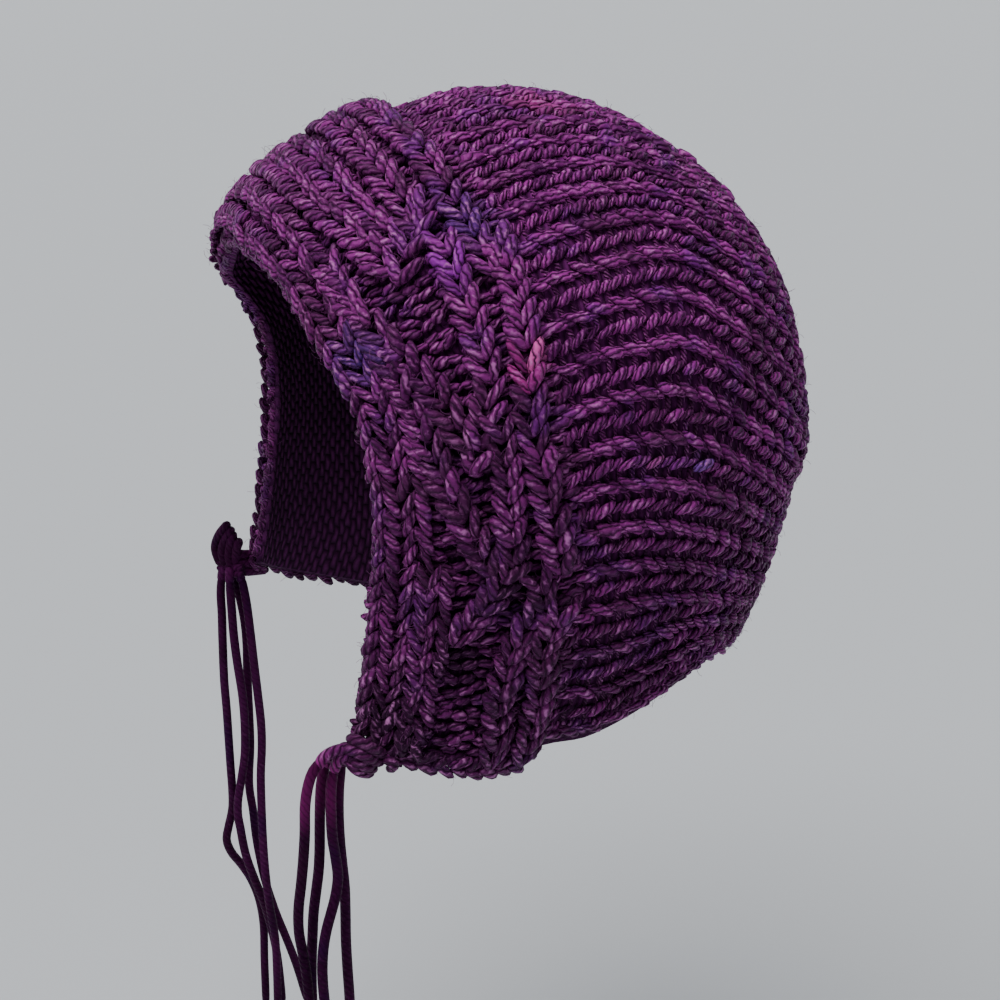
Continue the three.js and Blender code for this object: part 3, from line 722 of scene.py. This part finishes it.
# Yarns along lines of points in metres, as one piece
def yarns(name, lines, thickness, material, step, tones):
    verts, edges, tone, turns = [], [], [], []
    for line, t in zip(lines, tones):
        edges += [(len(verts) + k, len(verts) + k + 1) for k in range(len(line) - 1)]
        verts += line.tolist()
        tone += [t] * len(line)
        turns += [turnsOf(lengthOf(line), thickness)] * len(line)
    mesh = bpy.data.meshes.new(name)
    mesh.from_pydata(verts, edges, [])
    colour, share = dyeAndShadeAt(np.array(verts))
    storeOnPoints(mesh, {"tone": ("FLOAT", tone), "turns": ("FLOAT", turns),
                         "dye": ("FLOAT_COLOR", colour), "dyeShare": ("FLOAT", share)})
    obj = addObject(name, mesh)
    grow(obj, strandGrow, strandIds, {"Thickness": thickness, "Step": step, "Sides": yarnSides,
                                      "Material": material})
    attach(obj, "root")
    return obj


def addTies():
    for k, (node, route) in enumerate(tieRoutes.items()):
        line = smoothLine(np.array(route) * mm)
        length, tone = lengthOf(line), ties["tone"] + ties["toneStep"] * k
        obj = yarns(node + "_yarn", [line], ties["thickness"], tieYarn, ties["step"], [tone])
        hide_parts(node)
        print(node, "length mm", round(length / mm, 1))


addTies()


# Crown: wales of open stockinette, each an upper line of legs and a lower one
crownKnit = {
    "rowPitch": 2.25 * mm, "legLength": 3.7 * mm, "legThick": 1.8 * mm, "tilt": 30, "spread": 0.25,
    "lift": -0.9 * mm, "ropeLength": 1.14, "chainThick": 0.88, "smallLength": 0.86, "smallThick": 0.78,
    "smallDrop": 0.45 * mm, "fullPitch": 5.0 * mm, "leastThick": 0.55, "topFull": 0.28, "topBy": 8,
    "everyPitch": 2.4 * mm, "secondPitch": 1.2 * mm, "shorten": 0.25,
    "hemSide": 0.975, "hemLift": -1.6 * mm, "hemHalf": 0.55 * mm, "hemPitch": 2.4 * mm,
    "hemLength": 3.4 * mm, "hemThick": 1.7 * mm, "hemTilt": 21.8014,
    "rungThick": 1.1 * mm, "rungLift": -1.95 * mm, "groundLift": -1.75 * mm, "insideRows": 48,
    "rungs": [{"aside": 0, "onward": 0.3}, {"aside": 0.5, "onward": 0.7}], "rungLength": 0.5,
}


def crownRows():
    k = crownKnit
    legs, rungs = {1: [], -1: []}, []
    along = np.linspace(0, 1, 120)
    tilt = np.radians(k["tilt"])
    last = crown["perSide"] - 1
    for number in range(-last, last + 1):
        side = waleSide(number)
        group = 1 if number > 0 else -1
        points, normals = lineOn(crownSpot, np.full_like(along, side), along, k["lift"])
        p, t, n, share = spaced(points, normals, k["rowPitch"])
        a = np.interp(share, np.linspace(0, 1, len(along)), along)
        grooves = waleSide(number + 0.5), waleSide(number - 0.5)
        edges = [crownSpot(groove + 0 * a, a, 0) for groove in grooves]
        pitch = np.linalg.norm(edges[0] - edges[1], axis=1)
        across = unit(np.cross(n, t))
        # where the wales crowd together only every second one goes on, and then every fourth
        second = (number % 2 == 0) & (pitch > k["secondPitch"])
        keep = (pitch > k["everyPitch"]) | second | (number % 4 == 0)
        narrow = np.clip(pitch / k["fullPitch"], k["leastThick"], 1)
        small = np.arange(len(p)) % 2 == 1
        # the knit isn't stretched over the top, so its yarn looks fuller there
        full = 1 + k["topFull"] * (1 - smooth01(abs(number) / k["topBy"]))
        for hand in (1, -1):
            lie = t * np.cos(tilt) + across * hand * np.sin(tilt)
            sunk = n * (small * k["smallDrop"])[:, None]
            place = p + across * (hand * k["spread"] * pitch)[:, None] - sunk
            upper = hand * group < 0
            length = k["legLength"] * (1 - k["shorten"] * (1 - narrow)) * (k["ropeLength"] if upper else 1)
            length = length * np.where(small, k["smallLength"], 1)
            thick = k["legThick"] * narrow * full * np.where(small, k["smallThick"], 1)
            thick = thick * (1 if upper else k["chainThick"])
            legs[group].append({"place": place[keep], "lie": lie[keep], "face": n[keep],
                                "length": length[keep], "thick": thick[keep]})
        for rung in k["rungs"]:
            sideways = rung["aside"] * pitch[:, None] * across
            onward = t * rung["onward"] * k["rowPitch"]
            down = p + n * (k["rungLift"] - k["lift"]) + onward + sideways
            rungs.append({"place": down[keep], "lie": across[keep], "face": n[keep],
                          "length": (pitch * k["rungLength"])[keep], "thick": k["rungThick"]})
    # the chain that closes the neck edge
    for hand in (1, -1):
        line = lineOn(crownSpot, np.full_like(along, hand * k["hemSide"]), along, k["hemLift"])
        legs[hand] += chain(*line, k["hemPitch"], k["hemHalf"], k["hemTilt"], k["hemLength"], k["hemThick"])
    return legs, rungs


# Closed wall between two faces of one surface. "stitch" gives its column and row at a spot.
def wallMesh(name, node, spot, us, vs, outer, stitch):
    nu, nv = len(us), len(vs)
    grid = np.meshgrid(us, vs, indexing="ij")
    faces, inside = [], []
    points = np.concatenate([spot(*grid, lift).reshape(-1, 3) for lift in (outer, -form["wall"])])

    def at(layer, i, j):
        return layer * nu * nv + i * nv + j

    for i in range(nu - 1):
        for j in range(nv - 1):
            faces.append((at(0, i, j), at(0, i + 1, j), at(0, i + 1, j + 1), at(0, i, j + 1)))
            faces.append((at(1, i, j), at(1, i, j + 1), at(1, i + 1, j + 1), at(1, i + 1, j)))
            inside += [0, 1]
    for i in range(nu - 1):
        for j in (0, nv - 1):
            faces.append((at(0, i, j), at(1, i, j), at(1, i + 1, j), at(0, i + 1, j)))
    for j in range(nv - 1):
        for i in (0, nu - 1):
            faces.append((at(0, i, j), at(1, i, j), at(1, i, j + 1), at(0, i, j + 1)))
    inside += [0] * (len(faces) - len(inside))
    mesh = bpy.data.meshes.new(name)
    mesh.from_pydata(points.tolist(), [], faces)
    columns, rows = (np.broadcast_to(v, grid[0].shape).ravel() for v in stitch(*grid))
    coordinates = np.tile(np.stack([columns, rows, 0 * rows], 1), (2, 1))
    storeOnPoints(mesh, {"stitch": ("FLOAT_VECTOR", coordinates)})
    mesh.materials.append(groundKnit)
    mesh.materials.append(insideKnit)
    mesh.polygons.foreach_set("material_index", inside)
    obj = addObject(name, mesh)
    work = bmesh.new()
    work.from_mesh(mesh)
    bmesh.ops.remove_doubles(work, verts=work.verts, dist=0.02 * mm)
    bmesh.ops.recalc_face_normals(work, faces=work.faces)
    work.to_mesh(mesh)
    work.free()
    mesh.polygons.foreach_set("use_smooth", [True] * len(mesh.polygons))
    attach(obj, "root")
    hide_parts(node)
    print(name, len(mesh.polygons), "faces")


def addCrown():
    legs, rungs = crownRows()
    for group, name in ((1, "crown_stitches_left"), (-1, "crown_stitches_right")):
        knit(name, legs[group], crownYarn, seed=5 + group, bow=0.18, taper=0.5,
             wander=0.11, scatter=0.13 * mm)
    knit("crown_ladders", rungs, rungYarn, seed=9, sides=6, rings=4, bow=0.05, taper=0.2)
    numbers = np.linspace(-crown["perSide"], crown["perSide"], 153)
    sides = np.clip(waleSide(numbers), -1, 1)

    def stitch(side, along):
        return np.interp(side, sides, numbers), along * crownKnit["insideRows"]

    wallMesh("crown_ground", "crown_body", crownSpot, sides, np.linspace(0, 1, 40),
             crownKnit["groundLift"], stitch)


addCrown()

# Front band: ropes of V stitches over a purl ground, on the same lines as the solids
# Middle line of each rope: girth in degrees, across 0 at the front edge to 1 at the rear
ropes = {
    "edge": [(0, 0.09), (60, 0.1), (105, 0.09), (146, 0.11)],
    "second": [(0, 0.23), (60, 0.235), (105, 0.25), (146, 0.25)],
    "forehead": [(0, 0.36), (24, 0.37), (36, 0.44), (47, 0.49)],
    "upper": [(0, 0.47), (24, 0.49), (33, 0.53), (42, 0.57)],
    "middle": [(0, 0.65), (16, 0.65), (34, 0.68), (41, 0.68)],
    "crest": [(0, 0.8), (12, 0.8), (24, 0.86), (40, 0.87), (52, 0.9)],
    "turn": [(34, 0.81), (38, 0.72), (43, 0.63), (50, 0.51)],
    "cheek": [(43, 0.76), (56, 0.73), (71, 0.71), (81, 0.61), (87, 0.54)],
    "leaving": [(38, 0.26), (53, 0.27), (64, 0.37), (77, 0.48), (83, 0.53)],
    "jaw": [(60, 0.3), (73, 0.31), (89, 0.38), (101, 0.52), (107, 0.6)],
    "ear": [(44, 0.97), (57, 0.95), (71, 0.88), (80, 0.84), (94, 0.88), (106, 0.93)],
    "return": [(78, 0.7), (98, 0.69), (104, 0.71), (110, 0.64), (121, 0.46)],
    "hook": [(106, 0.8), (112, 0.86), (121, 0.73), (130, 0.71), (146, 0.79)],
    "chin": [(108, 0.36), (124, 0.37), (134, 0.34), (146, 0.34)],
    "hem": [(112, 0.94), (121, 0.87), (133, 0.92), (146, 0.94)],
}
# The V stitches of these open downwards and are narrower; the others open upwards
edgeRopes = {"names": ("edge", "second", "chin"), "wide": 0.84, "closeness": 0.7}
bandKnit = {
    "pitch": 3.45 * mm, "legLength": 4.9 * mm, "legThick": 2.1 * mm, "tilt": 28, "half": 1.38 * mm,
    "lift": 1.0 * mm, "endGirth": 142.8, "groundLift": -2.1 * mm, "insideRows": 0.29, "softenOver": 13,
    "purlAlong": 2.35 * mm, "purlColumns": 14, "purlLength": 3.0 * mm, "purlThick": 1.85 * mm,
    "purlLift": -1.0 * mm, "purlFrom": 1.5, "purlInset": 0.6, "purlOver": 0.2, "seamAcross": 0.998,
    "hemGirth": 144.2, "hemFrom": 0.02, "hemTo": 0.99, "hemPitch": 2.9 * mm, "hemLength": 3.9 * mm,
    "hemThick": 2.0 * mm, "hemHalf": 0.9 * mm, "hemLift": -0.6 * mm,
    "rimAcross": 0.012, "rimLift": -2.0 * mm, "rimPitch": 2.6 * mm, "rimLength": 3.6 * mm,
    "rimThick": 1.9 * mm, "rimLean": 0.1,
}


def bandRows():
    k = bandKnit
    legs = []
    window = np.hanning(k["softenOver"])
    window, pad = window / window.sum(), len(window) // 2
    for name, line in ropes.items():
        table, edge = np.array(line, float), name in edgeRopes["names"]
        wide = edgeRopes["wide"] if edge else 1.0
        closer = wide ** edgeRopes["closeness"]
        girth = np.linspace(table[0, 0], min(table[-1, 0], k["endGirth"]), 80)
        across = np.interp(girth, table[:, 0], table[:, 1])
        across = np.convolve(np.pad(across, pad, mode="edge"), window, mode="valid")
        for hand in (1, -1):
            points, normals = lineOn(bandSpot, hand * girth, across, k["lift"])
            if (hand < 0) == edge:
                points, normals = points[::-1], normals[::-1]
            legs += chain(points, normals, k["pitch"] * closer, k["half"] * wide, k["tilt"],
                          k["legLength"] * closer, k["legThick"] * wide)
    return legs


# The cast-off chain along the lower ends of the band
def bandHem():
    k = bandKnit
    across = np.linspace(k["hemFrom"], k["hemTo"], 120)
    rows = []
    for hand in (1, -1):
        line = lineOn(bandSpot, np.full_like(across, hand * k["hemGirth"]), across, k["hemLift"])
        rows += chain(*line, k["hemPitch"], k["hemHalf"], k["tilt"], k["hemLength"], k["hemThick"])
    return rows


# The edge stitches that turn over the rim of the face opening
def bandRim():
    k = bandKnit
    girth = np.linspace(-k["endGirth"], k["endGirth"], 240)
    points, normals = lineOn(bandSpot, girth, np.full_like(girth, k["rimAcross"]), k["rimLift"])
    p, t, n, _ = spaced(points, normals, k["rimPitch"])
    aside = unit(np.cross(n, t))
    return [{"place": p, "lie": unit(t + k["rimLean"] * n), "face": aside, "length": k["rimLength"],
             "thick": k["rimThick"]}]


# Purl side of the fabric between the ropes: short arcs in columns, every second one half a stitch on
def bandPurls():
    k = bandKnit
    rows = []
    girth = np.linspace(-bandEnd + k["purlFrom"], bandEnd - k["purlFrom"], 240)
    for column in range(k["purlColumns"] + 1):
        across = min((column + k["purlInset"]) / (k["purlColumns"] + k["purlOver"]), k["seamAcross"])
        points, normals = lineOn(bandSpot, girth, np.full_like(girth, across), k["purlLift"])
        p, t, n, _ = spaced(points, normals, k["purlAlong"], phase=0.5 + 0.5 * (column % 2))
        rows.append({"place": p, "lie": unit(np.cross(n, t)), "face": n, "length": k["purlLength"],
                     "thick": k["purlThick"]})
    return rows


def addBand():
    knit("band_ropes", bandRows() + bandHem() + bandRim(), bandYarn, seed=21, sides=9, rings=6,
         bow=0.21, taper=0.5, wander=0.13, scatter=0.16 * mm)
    knit("band_purls", bandPurls(), purlYarn, seed=23, sides=6, rings=4, bow=0.42, taper=0.55,
         wander=0.38, scatter=0.25 * mm)

    def stitch(girth, across):
        return across * bandKnit["purlColumns"], girth * bandKnit["insideRows"]

    wallMesh("band_ground", "front_band", bandSpot, np.linspace(-bandEnd, bandEnd, 169),
             np.linspace(0, 1, 25), bandKnit["groundLift"], stitch)


addBand()

# Knots at the front corners: turns round the corner of the band, and the strands' ends drawn in
knotYarns = {"thickness": 2.0 * mm, "step": 0.7 * mm, "tones": (0.15, 0.85)}
knots = {
    "tie_knot_left": [
        [(45.0, -44.0, -97.8), (46.6, -43.2, -97.5), (47.6, -41.7, -98.2), (47.6, -40.0, -99.5),
         (46.4, -38.3, -101.1)],
        [(44.5, -45.2, -99.4), (46.4, -44.2, -99.2), (47.6, -42.6, -99.8), (47.4, -40.7, -101.2),
         (46.0, -38.6, -102.8)],
        [(46.0, -43.8, -101.2), (47.0, -42.9, -101.6), (47.0, -41.5, -102.8), (46.0, -39.8, -103.9)],
        [(46.6, -38.4, -101.6), (47.6, -37.4, -102.0), (47.2, -36.8, -103.2), (46.2, -37.4, -104.2)],
        [(44.6, -44.5, -100.8), (46.0, -43.7, -102.7), (46.2, -42.2, -104.0), (45.4, -40.2, -104.9)],
        [(44.6, -49.4, -102.6), (44.6, -48.4, -100.9), (45.0, -46.6, -99.8), (45.8, -44.6, -99.2)],
        [(41.5, -47.2, -104.4), (42.0, -46.6, -102.2), (43.6, -45.4, -100.6), (45.4, -44.2, -100.0)],
        [(44.3, -46.6, -104.2), (44.6, -46.2, -102.4), (45.2, -45.2, -101.0), (46.0, -43.8, -100.4)],
        [(41.8, -44.7, -104.4), (42.4, -44.4, -102.4), (43.8, -43.8, -101.2), (45.4, -42.8, -100.8)],
    ],
    "tie_knot_right": [
        [(-42.5, -46.6, -89.6), (-44.5, -48.2, -92.6), (-45.6, -49.0, -95.9), (-45.0, -48.4, -98.9)],
        [(-42.0, -45.9, -90.6), (-43.4, -47.2, -93.5), (-44.0, -47.9, -96.3), (-44.0, -47.4, -99.3)],
        [(-41.9, -45.6, -91.6), (-42.8, -46.4, -94.6), (-43.2, -46.7, -97.5), (-43.2, -46.0, -100.1)],
        [(-41.2, -44.6, -93.0), (-42.2, -45.2, -95.4), (-42.8, -45.4, -98.0), (-43.0, -44.8, -100.3)],
        [(-45.6, -48.9, -98.2), (-44.6, -47.7, -99.3), (-43.0, -45.9, -99.6), (-41.4, -44.0, -99.4)],
        [(-45.4, -48.6, -99.9), (-44.2, -47.2, -100.8), (-42.6, -45.4, -100.9), (-41.2, -43.9, -100.5)],
        [(-42.8, -45.9, -96.3), (-43.4, -43.6, -97.2), (-44.8, -41.0, -98.0), (-46.2, -38.6, -98.6)],
        [(-43.2, -46.0, -98.2), (-43.0, -43.6, -99.0), (-44.4, -41.0, -99.8), (-46.0, -38.4, -100.4)],
        [(-42.6, -45.4, -100.3), (-43.0, -43.2, -101.0), (-44.2, -40.8, -101.6), (-45.6, -38.2, -102.2)],
        [(-44.6, -48.2, -103.2), (-44.6, -48.0, -101.4), (-44.2, -47.4, -99.6)],
        [(-42.1, -47.0, -103.0), (-42.3, -46.9, -101.2), (-42.8, -46.6, -99.4)],
        [(-44.6, -45.4, -103.2), (-44.4, -45.6, -101.4), (-43.8, -45.8, -99.6)],
        [(-42.1, -44.4, -103.0), (-42.3, -44.7, -101.2), (-42.6, -45.2, -99.2)],
    ],
}


def addKnots():
    for node, turns in knots.items():
        lines = [smoothLine(np.array(turn) * mm) for turn in turns]
        tones = np.linspace(*knotYarns["tones"], len(lines))
        material = knotYarn if node == "tie_knot_left" else tieYarn
        obj = yarns(node + "_yarn", lines, knotYarns["thickness"], material, knotYarns["step"], tones)
        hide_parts(node)


addKnots()

# Loose fibres that stand off the yarn
fibreLook = {
    "length": 1.3 * mm, "thickness": 0.05 * mm, "colour": (0.26, 0.04, 0.23), "rough": 0.6,
    "curl": {"Start": (0, 0, -0.05), "Middle": (0.3, 0.0, 0.45), "End": (1.0, 0.15, 0.3)},
    "leanMost": (0.5, 0.5, 3.1), "sizes": (0.5, 1.5),
}


def fibreTree():
    tree, ids = addTree("loose fibres", {"Density": "Float", "Seed": "Int"})
    g = Graph(tree)
    given = g.given.outputs
    least, most = fibreLook["sizes"]
    lean = np.array(fibreLook["leanMost"])
    spots = g.put("GeometryNodeDistributePointsOnFaces",
                  {"Mesh": given["Geometry"], "Density": given["Density"], "Seed": given["Seed"]})
    line = g.put("GeometryNodeCurveQuadraticBezier", {"Resolution": 3, **fibreLook["curl"]})
    long, radius = (fibreLook["length"],) * 3, fibreLook["thickness"] / 2
    grown = g.put("GeometryNodeTransform", {"Geometry": line.outputs[0], "Scale": long})
    ring = g.put("GeometryNodeCurvePrimitiveCircle", {"Resolution": 3, "Radius": radius})
    hair = g.put("GeometryNodeCurveToMesh", {
        "Curve": grown.outputs[0], "Profile Curve": ring.outputs[0], "Fill Caps": True,
    })
    lying = g.turned(spots.outputs["Rotation"], g.random(tuple(-lean), tuple(lean), given["Seed"]))
    size = g.put("FunctionNodeRandomValue", {2: least, 3: most, "Seed": given["Seed"]}, data_type="FLOAT")
    each = g.put("GeometryNodeInstanceOnPoints", {
        "Points": spots.outputs["Points"], "Instance": hair.outputs[0],
        "Rotation": lying, "Scale": size.outputs[1],
    })
    g.finish(each.outputs[0])
    return tree, ids


def fibreMaterial():
    g = ShaderGraph("loose fibre")
    colour = g.mix(g.noise(g.place(), 300.0, 1.0), yarnLook["body"], fibreLook["colour"])
    return g.surface({"Base Color": colour, "Roughness": fibreLook["rough"]})


# Fibres on the yarn of some pieces: about so many in all, spread evenly over its area
def addFibres(name, pieces, count, seed):
    tree, ids = fibreTree()
    work = bmesh.new()
    for piece in pieces:
        work.from_mesh(bpy.data.objects[piece].data)
    area = sum(face.calc_area() for face in work.faces)
    mesh = bpy.data.meshes.new(name)
    work.to_mesh(mesh)
    work.free()
    obj = addObject(name, mesh)
    grow(obj, tree, ids, {"Density": count / area, "Seed": seed, "Material": fibreMaterial()})
    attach(obj, "root")
    print(name, len(obj.data.polygons), "faces")


addFibres("crown_fibres", ["crown_stitches_left", "crown_stitches_right"], 5500, 41)
addFibres("band_fibres", ["band_ropes"], 4500, 43)

# Floor and light
studio = {
    "floorZ": -0.235, "floorColour": (0.574, 0.591, 0.617), "floorRough": 0.9,
    "wide": 6.0, "deep": 3.0, "curve": 1.2, "high": 6.0,
    "world": (0.90, 0.95, 1.0), "worldStrength": 0.22, "target": (0, 0, -0.05),
}
# Where the key light stands in metres as seen from the camera: right, up, towards it
keyLight = {"at": (-0.35, 1.0, 0.25), "spread": 50, "strength": 3.3}


# Directions level with the floor: away from the camera, and to the picture's right
def pictureAxes():
    away = Vector((camera["towards"][0], camera["towards"][1], 0)).normalized()
    return away, Vector((away.y, -away.x, 0))


# A sheet that runs back from the camera and curves up behind the bonnet
def addFloor():
    away, aside = pictureAxes()
    wide, deep, curve = studio["wide"], studio["deep"], studio["curve"]
    bend = np.linspace(0, np.pi / 2, 16)
    profile = [(-wide, 0.0)] + [(deep + curve * np.sin(a), curve - curve * np.cos(a)) for a in bend]
    profile.append((deep + curve, studio["high"]))
    verts = [tuple(away * d + aside * side + Vector((0, 0, studio["floorZ"] + z)))
             for d, z in profile for side in (-wide, wide)]
    faces = [(2 * i, 2 * i + 1, 2 * i + 3, 2 * i + 2) for i in range(len(profile) - 1)]
    mesh = bpy.data.meshes.new("floor")
    mesh.from_pydata(verts, [], faces)
    mesh.polygons.foreach_set("use_smooth", [True] * len(mesh.polygons))
    floor = addObject("floor", mesh)
    material = bpy.data.materials.new("pale paper")
    material.use_nodes = True
    shader = material.node_tree.nodes["Principled BSDF"]
    shader.inputs["Base Color"].default_value = (*studio["floorColour"], 1)
    shader.inputs["Roughness"].default_value = studio["floorRough"]
    mesh.materials.append(material)


def addLight():
    world = bpy.data.worlds.new("studio")
    bpy.context.scene.world = world
    world.use_nodes = True
    background = world.node_tree.nodes["Background"]
    background.inputs[0].default_value = (*studio["world"], 1)
    background.inputs[1].default_value = studio["worldStrength"]
    away, aside = pictureAxes()
    target = Vector(studio["target"])
    data = bpy.data.lights.new("key", "SUN")
    data.angle, data.energy = np.radians(keyLight["spread"]), keyLight["strength"]
    obj = addObject("key", data)
    right, up, near = keyLight["at"]
    obj.location = target + aside * right + Vector((0, 0, up)) - away * near
    obj.rotation_mode = "QUATERNION"
    obj.rotation_quaternion = (target - obj.location).to_track_quat("-Z", "Y")


addFloor()
addLight()
